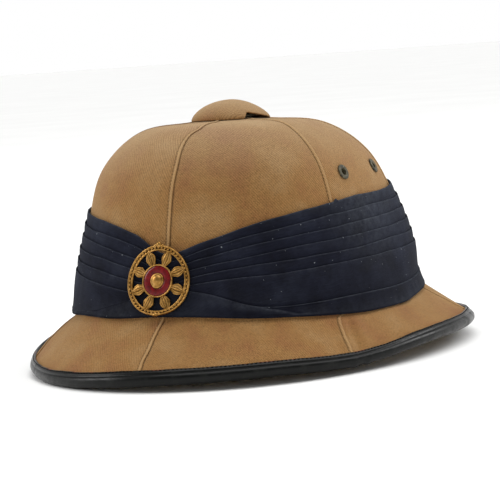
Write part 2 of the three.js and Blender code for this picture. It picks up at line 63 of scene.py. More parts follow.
crownProfile = {
    "angle": [0, 15, 30, 45, 60, 75, 90],
    "reach": [1.0, 1.0, 1.033, 1.097, 1.092, 1.02, 1.0],
    "front": [0, -0.025, -0.015, 0.012, 0.02, 0.007, 0],
}
brimEdge = {
    "azimuth": [0, 30, 50, 60, 75, 90, 120, 150, 180, 210, 240, 270, 300, 330],
    "reach": [1.0, 0.99, 0.982, 0.98, 0.987, 1.0, 1.03, 1.0, 1.0, 1.0, 1.03, 1.0, 1.0, 1.0],
    "lift": [0.34, 0.48, 0.32, 0.48, 0.88, 1.03, 0.9, 0.41, -0.14, 0.41, 0.9, 0.94, 0.22, -0.13],
    "fullness": [0, 0, 0, 0, 0, 0, 0, 0, 0, 0.2, 0.6, 1.0, 1.0, 0.5],
}
bandEdges = {
    "height": 68,    # above the waist, where a share of 1 lies
    "azimuth": [0, 12, 30, 60, 90, 135, 180, 225, 270, 300, 330, 348],
    "top": [0.55, 0.64, 0.8, 0.965, 1.01, 0.95, 0.87, 0.95, 1.02, 1.0, 0.875, 0.73],
    "lowest": [0.22, 0.29, 0.35, 0.43, 0.46, 0.38, 0.32, 0.38, 0.46, 0.45, 0.34, 0.23],
    "fold": [0.5, 0.9, 0.9, 1, 1, 1, 1, 1, 1, 0.5, 0, 0],
    "foldUp": [2.2, 1.9, 0.7, 1.2, 1.25, 1.0, 1.0, 1.0, 1.0, 0.8, 0.6, 1.4],
    "drop": [0.3, 0.4, 0.6, 0.85, 0.8, 0.7, 0.4, 0.4, 0.2, -0.2, 0, 0.3],
}


# A smooth curve through a table's column, round the whole circle if it is closed.
def curveThrough(places, values, closed=False):
    x, y = np.array(places, float), np.array(values, float)
    if closed:
        x = np.concatenate([x[-2:] - 360, x, x[:3] + 360])
        y = np.concatenate([y[-2:], y, y[:3]])
    order = np.arange(len(x))
    before, after = np.maximum(order - 1, 0), np.minimum(order + 1, len(x) - 1)
    slope = (y[after] - y[before]) / (x[after] - x[before])

    def at(place):
        place = np.mod(place, 360) if closed else np.asarray(place, float)
        i = np.clip(np.searchsorted(x, place, side="right") - 1, 0, len(x) - 2)
        span = x[i + 1] - x[i]
        s = (place - x[i]) / span
        pull = (y[i + 1] - y[i]) * (3 - 2 * s) * s * s
        return y[i] + pull + span * s * (1 - s) * (slope[i] * (1 - s) - slope[i + 1] * s)

    return at


def roundCurves(table, *columns):
    return [curveThrough(table["azimuth"], table[column], True) for column in columns]


crownReach = curveThrough(crownProfile["angle"], crownProfile["reach"])
crownFront = curveThrough(crownProfile["angle"], crownProfile["front"])
edgeReach, edgeLift, brimFullness = roundCurves(brimEdge, "reach", "lift", "fullness")
bandTop, bandLowest, bandFold = roundCurves(bandEdges, "top", "lowest", "fold")
bandFoldUp, bandDrop = roundCurves(bandEdges, "foldUp", "drop")


def mix(a, b, share):
    return a + (b - a) * share


def smooth(value, low, high):
    s = np.clip((value - low) / (high - low), 0, 1)
    return s * s * (3 - 2 * s)


def hump(place, centre, width):
    return np.exp(-((place - centre) / width) ** 2)


def oval(size, azimuth, exponent):
    c, s = np.cos(np.radians(azimuth)), np.sin(np.radians(azimuth))
    long = np.where(c > 0, size["frontReach"], size["backReach"])
    return (np.abs(c / long) ** exponent + np.abs(s / size["sideReach"]) ** exponent) ** (-1 / exponent)


def atAzimuth(azimuth, radius, height):
    a = np.radians(azimuth)
    return np.stack(np.broadcast_arrays(radius * np.sin(a), -radius * np.cos(a), height), -1)


def waistHeight(azimuth):
    a = np.radians(azimuth)
    return waist["height"] - waist["backUp"] * np.cos(a) + waist["sideDown"] * np.cos(2 * a)


def bandHeight(azimuth, share):
    return waistHeight(azimuth) + share * bandEdges["height"]


def edgeAzimuth(azimuth):    # the side seams swing forward on the brim
    fromFront = np.mod(azimuth + 180, 360) - 180
    swing = 8 * np.sign(fromFront) * np.sin(np.radians(1.5 * fromFront)) ** 2
    return azimuth - np.where(np.abs(fromFront) > 120, 0, swing)


def together(first, second):
    return np.broadcast_arrays(np.asarray(first, float), np.asarray(second, float))


# The cloth's outer face: along is 0 at the top, 1 at the waist and 2 at the brim's edge.
def sharpFace(azimuth, along):
    azimuth, along = together(azimuth, along)
    degrees = 90 * (1 - np.minimum(along, 1))
    angle = np.radians(degrees)
    reach = crownReach(degrees) + crownFront(degrees) * np.cos(np.radians(azimuth))
    up = reach * np.sin(angle)
    point = atAzimuth(azimuth, oval(crown, azimuth, crown["squareness"]) * reach * np.cos(angle), 0.0)
    point[..., 1] -= crown["topLean"] * np.sin(angle) ** 4
    point[..., 2] = mix(waistHeight(azimuth), waist["height"], np.minimum(up, 1)) + crown["rise"] * up
    swung = edgeAzimuth(azimuth)
    radius = oval(brim, swung, 2) * edgeReach(swung)
    edge = atAzimuth(swung, radius, brim["edgeHeight"] + edgeLift(swung) * brim["sideLift"])
    share = np.maximum(along - 1, 0)
    point = point + share[..., None] * (edge - point)
    point[..., 2] += brim["swell"] * brimFullness(swung) * 4 * share * np.maximum(1 - share, 0)
    return point


def face(azimuth, along):
    azimuth, along = together(azimuth, along)
    w = waist["bend"]
    s = np.clip((along - 1 + w) / (2 * w), 0, 1)[..., None]
    ends = sharpFace(azimuth, 1 - w) * (1 - s) ** 2 + sharpFace(azimuth, 1 + w) * s ** 2
    bent = ends + sharpFace(azimuth, 1.0) * 2 * s * (1 - s)
    return np.where((np.abs(along - 1) < w)[..., None], bent, sharpFace(azimuth, along))


def unit(vectors):
    return vectors / np.maximum(np.linalg.norm(vectors, axis=-1, keepdims=True), 1e-9)


def faceNormal(azimuth, along):
    azimuth, along = together(azimuth, along)
    across = face(azimuth + 0.5, along) - face(azimuth - 0.5, along)
    down = face(azimuth, along + 0.005) - face(azimuth, along - 0.005)
    return unit(np.cross(down, across))


def offFace(azimuth, along, out):
    return face(azimuth, along) + faceNormal(azimuth, along) * np.asarray(out)[..., None]


def alongWhere(azimuth, reached):
    azimuth = np.asarray(azimuth, float)
    low, high = np.full(azimuth.shape, 0.005), np.full(azimuth.shape, 1.1)
    for _ in range(30):
        middle = (low + high) / 2
        hit = reached(face(azimuth, middle))
        low, high = np.where(hit, low, middle), np.where(hit, middle, high)
    return high


def alongAtHeight(azimuth, height):
    azimuth, height = together(azimuth, height)
    return alongWhere(azimuth, lambda p: p[..., 2] <= height)


def alongAtVent(azimuth, radius):
    return alongWhere(azimuth, lambda p: np.hypot(p[..., 0], p[..., 1] + crown["topLean"]) >= radius)


# Slow, repeatable unevenness, from -1 to 1, of four waves with their phases drawn from the seed
def waves(angleOf, seed):
    spread = np.random.default_rng(seed).uniform(0, 2 * np.pi, 4)
    return sum(np.sin(angleOf(i) + phase) / (1 + 0.4 * i) for i, phase in enumerate(spread)) / 2.6


def uneven(place, wave, seed):
    return waves(lambda i: 2 * np.pi * np.asarray(place) * (0.7 + 0.61 * i) / wave, seed)


def roundUneven(azimuth, turns, seed):    # closes round the circle
    return waves(lambda i: np.radians(azimuth) * (turns + i * max(1, turns // 2)), seed)


def toFrame(points):
    return (np.asarray(points, float) + shiftToFrame) / 1000


def runAlong(points):    # how far along its row each point lies, from 0
    steps = np.linalg.norm(np.diff(points, axis=-2), axis=-1)
    return np.concatenate([np.zeros((*steps.shape[:-1], 1)), np.cumsum(steps, -1)], -1)


def meshPiece(name, points, faces, material, uvs=None, seamUvs=None):
    mesh = bpy.data.meshes.new(name)
    mesh.from_pydata(toFrame(points).reshape(-1, 3).tolist(), [], faces)
    corners = np.zeros(len(mesh.loops), int)
    mesh.loops.foreach_get("vertex_index", corners)
    for label, table in (("cloth", uvs), ("seam", seamUvs)):
        if table is not None:
            layer = mesh.uv_layers.new(name=label)
            layer.data.foreach_set("uv", np.reshape(table, (-1, 2))[corners].ravel())
    mesh.polygons.foreach_set("use_smooth", [True] * len(mesh.polygons))
    mesh.materials.append(material)
    piece = bpy.data.objects.new(name, mesh)
    bpy.context.scene.collection.objects.link(piece)
    return piece


def gridFaces(rows, columns, closedRows=False, closedColumns=False, start=0):
    i = np.arange(rows if closedRows else rows - 1)
    j = np.arange(columns if closedColumns else columns - 1)
    i, j = [a.ravel() for a in np.meshgrid(i, j, indexing="ij")]
    nextI, nextJ = (i + 1) % rows, (j + 1) % columns
    quads = np.stack([i * columns + j, i * columns + nextJ, nextI * columns + nextJ, nextI * columns + j], -1)
    return (quads + start).tolist()


def latheGrid(profile, turns):
    out, height = np.array(profile, float).T
    angles = np.linspace(0, 2 * np.pi, turns, endpoint=False)[:, None]
    return np.stack([out * np.cos(angles), out * np.sin(angles), height + 0 * angles], -1)


def applyModifiers(piece):
    evaluated = piece.evaluated_get(bpy.context.evaluated_depsgraph_get())
    made = bpy.data.meshes.new_from_object(evaluated)
    piece.modifiers.clear()
    piece.data = made


def faceOutward(piece):
    edit = bmesh.new()
    edit.from_mesh(piece.data)
    bmesh.ops.recalc_face_normals(edit, faces=edit.faces)
    edit.to_mesh(piece.data)
    edit.free()


def drill(piece, cutters):
    for cutter in cutters:
        step = piece.modifiers.new("drill", "BOOLEAN")
        step.operation, step.solver, step.object = "DIFFERENCE", "EXACT", cutter
    applyModifiers(piece)


camera = {
    "azimuth": 25.65,
    "elevation": 5.05,
    "roll": 4.16,
    "distance": 1400,
    "pixelsPerMm": 1.5359,
    "target": (-0.086, -5.723, 74.988),
    "targetAt": (242.82, 237.24),    # where it lies in the 500 x 500 frame
    "sensor": 36,
}


def makeCamera():
    a, e, r = (math.radians(camera[k]) for k in ("azimuth", "elevation", "roll"))
    back = Vector((math.sin(a) * math.cos(e), -math.cos(a) * math.cos(e), math.sin(e)))
    level = Vector((math.cos(a), math.sin(a), 0))
    up = back.cross(level)
    right = level * math.cos(r) - up * math.sin(r)
    above = level * math.sin(r) + up * math.cos(r)
    target = Vector(camera["target"])
    place = target + back * camera["distance"]
    overX = (250 - camera["targetAt"][0]) / camera["pixelsPerMm"]
    overY = (250 - camera["targetAt"][1]) / camera["pixelsPerMm"]
    aim = target + right * overX - above * overY
    away = (place - aim).normalized()
    side = above.cross(away).normalized()
    lens = camera["pixelsPerMm"] * camera["distance"] / 500 * camera["sensor"]
    data = bpy.data.cameras.new("photoCamera")
    data.sensor_width, data.lens = camera["sensor"], lens
    data.clip_start, data.clip_end = 0.05, 100
    eye = bpy.data.objects.new("photoCamera", data)
    turned = Matrix((side, away.cross(side), away)).transposed().to_4x4()
    eye.matrix_world = Matrix.Translation(place / 1000) @ turned
    bpy.context.scene.collection.objects.link(eye)
    bpy.context.scene.camera = eye


makeCamera()
print("camera made")


def linear(hexText):
    values = [int(hexText[i:i + 2], 16) / 255 for i in (0, 2, 4)]
    return (*[v / 12.92 if v <= 0.04045 else ((v + 0.055) / 1.055) ** 2.4 for v in values], 1.0)


# Feeds a node's inputs: a socket is linked, a hex text is a colour, and anything else is a value.
def feed(node, inputs):
    for socket, value in inputs.items():
        if isinstance(value, bpy.types.NodeSocket):
            node.id_data.links.new(value, node.inputs[socket])
        else:
            node.inputs[socket].default_value = linear(value) if isinstance(value, str) else value


# Adds a node with its settings, inputs and colour stops, and gives back one of its outputs.
def addNode(tree, kind, inputs, output=0, stops=(), **settings):
    node = tree.nodes.new("ShaderNode" + kind)
    for key, value in settings.items():
        setattr(node, key, value)
    for i, (place, colour) in enumerate(stops):
        element = node.color_ramp.elements[i] if i < 2 else node.color_ramp.elements.new(place)
        element.position = place
        element.color = linear(colour) if isinstance(colour, str) else (colour, colour, colour, 1)
    feed(node, inputs)
    return node.outputs[output]


def newMaterial(name):
    material = bpy.data.materials.new(name)
    material.use_nodes = True
    shader = material.node_tree.nodes["Principled BSDF"]
    node = functools.partial(addNode, material.node_tree)
    return material, shader, node, node("TexCoord", {}, "Object")


perMm = 1000    # the scale that gives a pattern one step a millimetre, in metres
wavePerMm = math.pi / 10    # a wave of scale 1 repeats every pi / 10 of its units
paint = {"output": 2, "data_type": "RGBA"}
darken = {"output": 2, "data_type": "RGBA", "blend_type": "MULTIPLY"}

khakiSettings = {
    "light": "9B784E",
    "middle": "926B3E",
    "deep": "895D38",
    "stain": "6A4526",
    "rubbed": "BC9A6E",  # a paler strip on the raised seams
    "dustAndLight": "D2BFA0",    # dust, bleaching and painted light on what faces up
    "dustAndLightFrom": 0.09,    # m above the floor
    "ribPitch": 1.3,     # real drill has about 0.7 mm, too fine to show
    "ribTurn": 40,
    "ribDepth": 0.00014,
    "speckle": 0.9,      # neps and worn threads
    "roughness": 0.95,
    "sheen": 0.35,
}


# Cotton drill, woven in a steep twill and faded by sun: dull, with faint diagonal ribs, speckled and blotchy.
def khakiCottonDrill():
    s = khakiSettings
    material, shader, node, space = newMaterial("khaki_cotton_drill")
    cloth = node("UVMap", {}, uv_map="cloth")
    blotches = node("TexNoise", {"Vector": space, "Scale": perMm / 30, "Detail": 4, "Roughness": 0.6})
    colour = node("ValToRGB", {0: blotches}, stops=[(0.3, s["deep"]), (0.5, s["middle"]), (0.7, s["light"])])
    facing = node("SeparateXYZ", {0: node("NewGeometry", {}, "Normal")}, "Z")
    height = node("SeparateXYZ", {0: space}, "Z")
    high = node("MapRange", {0: height, 1: s["dustAndLightFrom"], 2: s["dustAndLightFrom"] + 0.05, 3: 0.0, 4: 1.0})
    # Paled where the crown faces up: partly dust and bleaching, partly painted light from above
    dustAndLightUp = node("ValToRGB", {0: facing}, stops=[(0.25, 0.03), (0.95, 0.2)])
    dustAndLightAbove = node("Math", {0: high, 1: dustAndLightUp}, operation="MULTIPLY")
    colour = node("Mix", {0: dustAndLightAbove, 6: colour, 7: s["dustAndLight"]}, **paint)
    low = node("MapRange", {0: height, 1: 0.05, 2: 0.035, 3: 1.0, 4: 0.97})
    colour = node("Mix", {0: 1.0, 6: colour, 7: low}, **darken)    # a little darker on the brim
    neps = {"Vector": space, "Scale": perMm / s["speckle"], "Detail": 3, "Roughness": 0.85}
    speckle = node("TexNoise", neps)
    flecks = node("ValToRGB", {0: speckle}, stops=[(0.32, 0.46), (0.5, 0.95), (0.68, 1.25)])
    colour = node("Mix", {0: 0.75, 6: colour, 7: flecks}, **darken)
    turned = node("Mapping", {"Vector": cloth, "Rotation": (0, 0, math.radians(s["ribTurn"]))})
    twill = {"Vector": turned, "Scale": wavePerMm / s["ribPitch"], "Distortion": 0.9, "Detail": 1}
    ribs = node("TexWave", twill, "Fac", bands_direction="X")
    # Painted shade in the grooves between the twill's ribs
    shade = node("ValToRGB", {0: ribs}, stops=[(0.0, 0.8), (1.0, 1.04)])
    clear = node("MapRange", {0: height, 1: 0.045, 2: 0.06, 3: 0.35, 4: 0.95})    # the ribs' painted shade is fainter on the brim
    colour = node("Mix", {0: clear, 6: colour, 7: shade}, **darken)
    cloudy = node("TexNoise", {"Vector": space, "Scale": perMm / 11, "Detail": 5, "Roughness": 0.7})
    stains = node("ValToRGB", {0: cloudy}, stops=[(0.58, 0.0), (0.8, 0.22)])
    colour = node("Mix", {0: stains, 6: colour, 7: s["stain"]}, **paint)
    seam = node("SeparateXYZ", {0: node("UVMap", {}, uv_map="seam")})    # mm from the folded edge
    inRange = node("Math", {0: seam, 1: 0.2}, operation="MULTIPLY")
    # A paler strip on each raised fold, between its stitches and its folded edge
    worn = node("ValToRGB", {0: inRange}, stops=[(0.08, 0.0), (0.16, 0.4), (0.45, 0.3), (0.5, 0.0)])
    colour = node("Mix", {0: worn, 6: colour, 7: s["rubbed"]}, **paint)
    # Painted shade in the crease at each folded edge and in the needle's holes
    seamShade = [(0.0, 0.58), (0.07, 0.72), (0.14, 1.0), (0.48, 1.0)]
    seamShade += [(0.52, 0.3), (0.58, 0.3), (0.63, 0.85), (0.8, 1.0)]    # painted shade along the line of the needle's holes
    colour = node("Mix", {0: 0.9, 6: colour, 7: node("ValToRGB", {0: inRange}, stops=seamShade)}, **darken)
    weave = node("Bump", {"Height": ribs, "Distance": s["ribDepth"], "Strength": 0.8})
    nap = node("Bump", {"Height": speckle, "Distance": 0.0003, "Strength": 0.7, "Normal": weave})
    feed(shader, {"Base Color": colour, "Normal": nap, "Roughness": s["roughness"]})
    feed(shader, {"Specular IOR Level": 0.12, "Sheen Weight": s["sheen"]})
    feed(shader, {"Sheen Roughness": 0.45, "Sheen Tint": "D9C7A6"})
    return material


# Sewing thread of the same cotton, waxed, a little paler than the cloth.
def khakiThread():
    material, shader, node, space = newMaterial("khaki_thread")
    strands = node("TexNoise", {"Vector": space, "Scale": perMm / 0.8, "Detail": 2})
    colour = node("ValToRGB", {0: strands}, stops=[(0.3, "7C5C36"), (0.7, "AE8D60")])
    feed(shader, {"Base Color": colour, "Roughness": 0.85, "Specular IOR Level": 0.2})
    return material


# Pressed pith: layers of plant pith, matt and straw-coloured, with fine pores.
def pressedPith():
    material, shader, node, space = newMaterial("pressed_pith")
    layers = node("Mapping", {"Vector": space, "Scale": (1, 1, 6)})
    grain = node("TexNoise", {"Vector": layers, "Scale": perMm / 9, "Detail": 4, "Roughness": 0.6})
    pores = node("TexNoise", {"Vector": space, "Scale": perMm / 1.1, "Detail": 2})
    colour = node("ValToRGB", {0: grain}, stops=[(0.35, "A48A60"), (0.5, "B59D72"), (0.66, "C6B08A")])
    pitted = node("ValToRGB", {0: pores}, stops=[(0.3, 0.7), (0.5, 1.0)])
    colour = node("Mix", {0: 0.6, 6: colour, 7: pitted}, **darken)
    rough = node("Bump", {"Height": pores, "Distance": 0.0004, "Strength": 0.7})
    feed(shader, {"Base Color": colour, "Normal": rough, "Roughness": 0.95, "Specular IOR Level": 0.15})
    return material


navySettings = {
    "dark": "12131B",
    "middle": "171924",
    "light": "20232F",
    "dustAndLight": "4C5057",
    "lint": "8A8F94",
    "threadPitch": 0.9,
    "dustAndSheenAt": (0.083, -0.02, 0.093),    # where dust and a painted sheen turn it grey, in m
    "dustAndSheenReach": 0.05,
}


# Fine plain-woven cotton, dyed navy: nearly black in its folds, greyed where it faces up and on one side by
# dust and painted light, with lint.
def navyCottonCloth():
    s = navySettings
    material, shader, node, space = newMaterial("navy_cotton_cloth")
    cloth = node("UVMap", {}, uv_map="cloth")
    cloudy = node("TexNoise", {"Vector": space, "Scale": perMm / 22, "Detail": 4, "Roughness": 0.6})
    colour = node("ValToRGB", {0: cloudy}, stops=[(0.33, s["dark"]), (0.5, s["middle"]), (0.7, s["light"])])
    slubs = node("Mapping", {"Vector": cloth, "Scale": (0.15, 1, 1)})
    yarn = {"Vector": slubs, "Scale": 1 / s["threadPitch"], "Detail": 3, "Roughness": 0.75}
    threads = node("TexNoise", yarn)
    shade = node("ValToRGB", {0: threads}, stops=[(0.25, 0.5), (0.5, 0.95), (0.75, 1.25)])
    colour = node("Mix", {0: 0.8, 6: colour, 7: shade}, **darken)
    height = node("SeparateXYZ", {0: space}, "Z")
    less = node("MapRange", {0: height, 1: 0.038, 2: 0.062, 3: 0.7, 4: 1.0})    # darker towards its foot
    colour = node("Mix", {0: 1.0, 6: colour, 7: less}, **darken)
    # Greyed where it faces up and near one patch on its side: partly dust, partly painted light and sheen
    upward = node("SeparateXYZ", {0: node("NewGeometry", {}, "Normal")}, "Z")
    dustAndLightUp = node("ValToRGB", {0: upward}, stops=[(0.1, 0.0), (0.75, 0.5)])
    away = node("VectorMath", {0: space, 1: s["dustAndSheenAt"]}, "Value", operation="DISTANCE")
    near = node("MapRange", {0: away, 1: s["dustAndSheenReach"], 2: 0.0, 3: 0.0, 4: 0.55})
    patchy = node("TexNoise", {"Vector": space, "Scale": perMm / 5, "Detail": 5, "Roughness": 0.75})
    patches = node("ValToRGB", {0: patchy}, stops=[(0.36, 0.15), (0.66, 0.85)])
    greyed = node("Math", {0: dustAndLightUp, 1: near}, operation="ADD")
    dustAndSheen = node("Math", {0: greyed, 1: patches}, operation="MULTIPLY")
    colour = node("Mix", {0: dustAndSheen, 6: colour, 7: s["dustAndLight"]}, **paint)
    specks = node("TexNoise", {"Vector": space, "Scale": perMm / 1.2, "Detail": 0})
    lint = node("ValToRGB", {0: specks}, stops=[(0.865, 0.0), (0.88, 0.8)])
    colour = node("Mix", {0: lint, 6: colour, 7: s["lint"]}, **paint)
    weave = node("Bump", {"Height": threads, "Distance": 0.00025, "Strength": 0.6})
    feed(shader, {"Base Color": colour, "Normal": weave, "Roughness": 0.9, "Specular IOR Level": 0.07})
    feed(shader, {"Sheen Weight": 0.1, "Sheen Roughness": 0.45, "Sheen Tint": "8C93A6"})
    return material


leatherSettings = {"black": "060706", "worn": "171815", "rust": "5C2413", "grain": 1.1, "roughness": 0.29}


# Waxed black leather, rolled wet and polished by handling: half gloss, scuffed, with red rot at its cut edge.
def waxedBlackLeather():
    s = leatherSettings
    material, shader, node, space = newMaterial("waxed_black_leather")
    across = node("SeparateXYZ", {0: node("UVMap", {}, uv_map="cloth")}, "Y")    # mm from the cut edge
    scuffs = node("TexNoise", {"Vector": space, "Scale": perMm / 7, "Detail": 5, "Roughness": 0.7})
    worn = node("ValToRGB", {0: scuffs}, stops=[(0.5, 0.0), (0.72, 1.0)])
    colour = node("Mix", {0: worn, 6: s["black"], 7: s["worn"]}, **paint)
    cutEdge = node("Math", {0: across, 1: 2.0}, operation="LESS_THAN")
    blotchy = node("TexNoise", {"Vector": space, "Scale": perMm / 9, "Detail": 3, "Roughness": 0.7})
    patches = node("ValToRGB", {0: blotchy}, stops=[(0.56, 0.0), (0.6, 0.9)])
    rot = node("Math", {0: cutEdge, 1: patches}, operation="MULTIPLY")
    colour = node("Mix", {0: rot, 6: colour, 7: s["rust"]}, **paint)
    gloss = node("Math", {0: worn, 1: 0.3, 2: s["roughness"]}, operation="MULTIPLY_ADD")
    grain = node("TexVoronoi", {"Vector": space, "Scale": perMm / s["grain"]}, "Distance")
    fine = node("Bump", {"Height": grain, "Distance": 0.0001, "Strength": 0.25})
    dents = node("Bump", {"Height": scuffs, "Distance": 0.0006, "Strength": 0.4, "Normal": fine})
    feed(shader, {"Base Color": colour, "Roughness": gloss, "Normal": dents})
    feed(shader, {"IOR": 1.5, "Specular IOR Level": 0.18})
    return material


# Die-struck brass, gilded and long rubbed: warm and bright on its ridges, brown in its hollows.
def struckGiltBrass():
    material, shader, node, space = newMaterial("struck_gilt_brass")
    ridges = node("NewGeometry", {}, "Pointiness")
    tarnish = node("TexNoise", {"Vector": space, "Scale": perMm / 3, "Detail": 4, "Roughness": 0.65})
    metal = node("ValToRGB", {0: tarnish}, stops=[(0.3, "7E5A2A"), (0.5, "A37A3F"), (0.66, "B98F54")])
    hollows = node("ValToRGB", {0: ridges}, stops=[(0.46, 0.85), (0.51, 0.0)])
    colour = node("Mix", {0: hollows, 6: metal, 7: "2E1F0E"}, **paint)
    dull = node("Math", {0: tarnish, 1: 0.35, 2: 0.2}, operation="MULTIPLY_ADD")
    pits = node("Bump", {"Height": tarnish, "Distance": 0.0002, "Strength": 0.3})
    feed(shader, {"Base Color": colour, "Metallic": 1.0, "Roughness": dull, "Normal": pits})
    return material


# Vitreous enamel, fired in its cell: deep red glass with a clear, wet gloss.
def redVitreousEnamel():
    material, shader, node, space = newMaterial("red_vitreous_enamel")
    depth = node("TexNoise", {"Vector": space, "Scale": perMm / 2.5, "Detail": 2})
    colour = node("ValToRGB", {0: depth}, stops=[(0.3, "4A0508"), (0.7, "740C10")])
    feed(shader, {"Base Color": colour, "Roughness": 0.2, "IOR": 1.5, "Specular IOR Level": 0.25})
    return material


# Brass under dark olive japan, baked on and rubbed: dull, with a little bare metal.
def japannedBrass():
    material, shader, node, space = newMaterial("japanned_brass")
    rubbed = node("TexNoise", {"Vector": space, "Scale": perMm / 1.6, "Detail": 3, "Roughness": 0.6})
    colour = node("ValToRGB", {0: rubbed}, stops=[(0.35, "2C2A23"), (0.55, "48432F"), (0.7, "706850")])
    dull = node("Math", {0: rubbed, 1: -0.2, 2: 0.75}, operation="MULTIPLY_ADD")
    feed(shader, {"Base Color": colour, "Roughness": dull, "Specular IOR Level": 0.3})
    return material


# Black linen thread, waxed.
def blackLinenThread():
    material, shader, node, space = newMaterial("black_linen_thread")
    strands = node("TexNoise", {"Vector": space, "Scale": perMm / 0.7, "Detail": 2})
    colour = node("ValToRGB", {0: strands}, stops=[(0.3, "030303"), (0.7, "0B0B0A")])
    feed(shader, {"Base Color": colour, "Roughness": 0.9, "Specular IOR Level": 0.08})
    return material


# The table it stands on: matt white card.
def matteWhiteCard():
    material, shader, node, space = newMaterial("matte_white_card")
    fibres = node("TexNoise", {"Vector": space, "Scale": perMm / 300, "Detail": 2})
    colour = node("ValToRGB", {0: fibres}, stops=[(0.3, "F4F4F3"), (0.7, "F8F8F7")])
    feed(shader, {"Base Color": colour, "Roughness": 0.9, "Specular IOR Level": 0.1})
    return material


drillCloth, threadKhaki, pith = khakiCottonDrill(), khakiThread(), pressedPith()
navyCloth, leather, blackThread = navyCottonCloth(), waxedBlackLeather(), blackLinenThread()
gilt, enamelRed, japan = struckGiltBrass(), redVitreousEnamel(), japannedBrass()
print("materials made")

eyeletSizes = {
    "height": 121.3,
    "spacing": 48.4,
    "flangeRadius": 4.9,
    "barrelRadius": 3.0,
    "boreRadius": 2.2,
    "rise": 0.85,
    "lift": 0.35,
    "depth": 8,
    "turns": 40,
}


def eyeletPlace(side, turn):
    s = eyeletSizes
    reach = face(90.0, alongAtHeight(90.0, s["height"]))[0]
    azimuth = side + turn * math.degrees(math.asin(s["spacing"] / 2 / reach))
    along = alongAtHeight(azimuth, s["height"])
    normal = Vector(faceNormal(azimuth, along))
    place = Matrix.Translation(Vector(face(azimuth, along)))
    return place @ Vector((0, 0, 1)).rotation_difference(normal).to_matrix().to_4x4()


eyeletPlaces = {
    "right_back": eyeletPlace(-90, -1),
    "right_front": eyeletPlace(-90, 1),
    "left_front": eyeletPlace(90, -1),
    "left_back": eyeletPlace(90, 1),
}


def placed(points, matrix):
    m = np.array(matrix)
    return points.reshape(-1, 3) @ m[:3, :3].T + m[:3, 3]


def eyeletCutter(name):
    radius, turns = eyeletSizes["barrelRadius"] + 0.1, 32
    points = placed(latheGrid([(radius, -25), (radius, 12)], turns), eyeletPlaces[name])
    faces = gridFaces(turns, 2, closedRows=True)
    faces += [[2 * i for i in range(turns)][::-1], [2 * i + 1 for i in range(turns)]]
    cutter = meshPiece("cutter_" + name, points, faces, japan)
    faceOutward(cutter)
    return cutter


def makeEyelets():
    s = eyeletSizes
    top = s["lift"] + s["rise"]
    mid = (s["flangeRadius"] + s["boreRadius"]) / 2
    half = (s["flangeRadius"] - s["boreRadius"]) / 2
    profile = [(s["barrelRadius"], -s["depth"]), (s["barrelRadius"], s["lift"] - 0.1)]
    profile += [(s["flangeRadius"] - 0.15, s["lift"] - 0.05), (s["flangeRadius"], s["lift"] + 0.12)]
    for i in range(9):
        t = math.pi * (i + 0.5) / 9
        profile.append((mid + half * math.cos(t), s["lift"] + 0.25 + (s["rise"] - 0.25) * math.sin(t) ** 0.8))
    profile += [(s["boreRadius"], top - 0.7), (s["boreRadius"], -s["depth"])]
    ring = latheGrid(profile, s["turns"])
    faces = gridFaces(s["turns"], len(profile), closedRows=True, closedColumns=True)
    for name, place in eyeletPlaces.items():
        piece = meshPiece("air_eyelet_" + name, placed(ring, place), faces, japan)
        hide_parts("eyelet_" + name)
        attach(piece, "root")


makeEyelets()
cutters = {name: eyeletCutter(name) for name in eyeletPlaces}
print("eyelets made")


shellSizes = {
    "clothThickness": 1.2,
    "gap": 0.3,
    "crownThickness": 6.5,
    "edgeThickness": 4,
    "holeRadius": 15.5,
    "evenTo": 0.86,    # its rows are evenly spaced from the hole to here
}


def makeShell():
    s = shellSizes
    azimuths = np.arange(0, 360, 2.5)[:, None]
    start = alongAtVent(azimuths[:, 0], s["holeRadius"])[:, None]
    rows = [np.linspace(0, s["evenTo"], 40), np.linspace(0.88, 1.12, 14), np.linspace(1.2, 2, 12)]
    rows = np.concatenate(rows)[None, :]
    along = np.where(rows < s["evenTo"], mix(start, s["evenTo"], rows / s["evenTo"]), rows)
    under = s["clothThickness"] + s["gap"]
    outer = offFace(azimuths, along, np.full(along.shape, -under))
    depth = mix(s["crownThickness"], s["edgeThickness"], np.clip(along - 1, 0, 1))
    inner = offFace(azimuths, along, -(under + depth))
    loop = np.concatenate([outer, inner[:, ::-1]], 1)
    faces = gridFaces(*loop.shape[:2], closedRows=True, closedColumns=True)
    piece = meshPiece("pressed_pith_shell", loop, faces, pith)
    drill(piece, list(cutters.values()))
    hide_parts("pith_crown", "pith_brim")
    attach(piece, "root")


makeShell()
print("shell made")


panelSizes = {
    "thickness": 0.9,
    "foldWidth": 2.8,       # of the lapped edge
    "foldRise": 0.5,
    "stitchPitch": 2.1,
    "stitchLength": 1.25,
    "stitchThick": 0.45,
    "stitchFromEdge": 2.75,
    "crownTurn": 2.0,       # degrees that the seam at the left front lies back on the crown
    "brimTurn": 4.0,        # and forward on the upper brim
    "cutWidth": 1.35,       # of the flat cut, over a panel's mean width
    "columns": 60,          # between the two seams' own columns
}
panelNames = ["left_front", "left_side", "left_back", "right_back", "right_side", "right_front"]


# The front seam drifts to the wearer's left as it climbs to the cap.
frontSeam = {
    "along": [0, 0.32, 0.36, 0.42, 0.5, 0.6, 0.7, 1.0, 2.0],
    "azimuth": [9, 7.5, 4, 2.6, 2.7, 1.8, 1.2, 0.3, 0],
}
frontDrift = curveThrough(frontSeam["along"], frontSeam["azimuth"])


def seamLine(seam, along):
    azimuth = 60.0 * seam + 0 * along
    if seam % 6 == 0:
        azimuth = azimuth + frontDrift(along)
    if seam % 6 == 1:
        azimuth = azimuth + panelSizes["crownTurn"] * (1 - smooth(along, 0.65, 1.0))
        onBrim = smooth(along, 1.0, 1.15)
        azimuth = azimuth - panelSizes["brimTurn"] * onBrim * (1 - smooth(along, 1.15, 2.1))
    return azimuth + 0.25 * uneven(along, 0.7, 20 + seam % 6) * smooth(along, 0.2, 0.5)


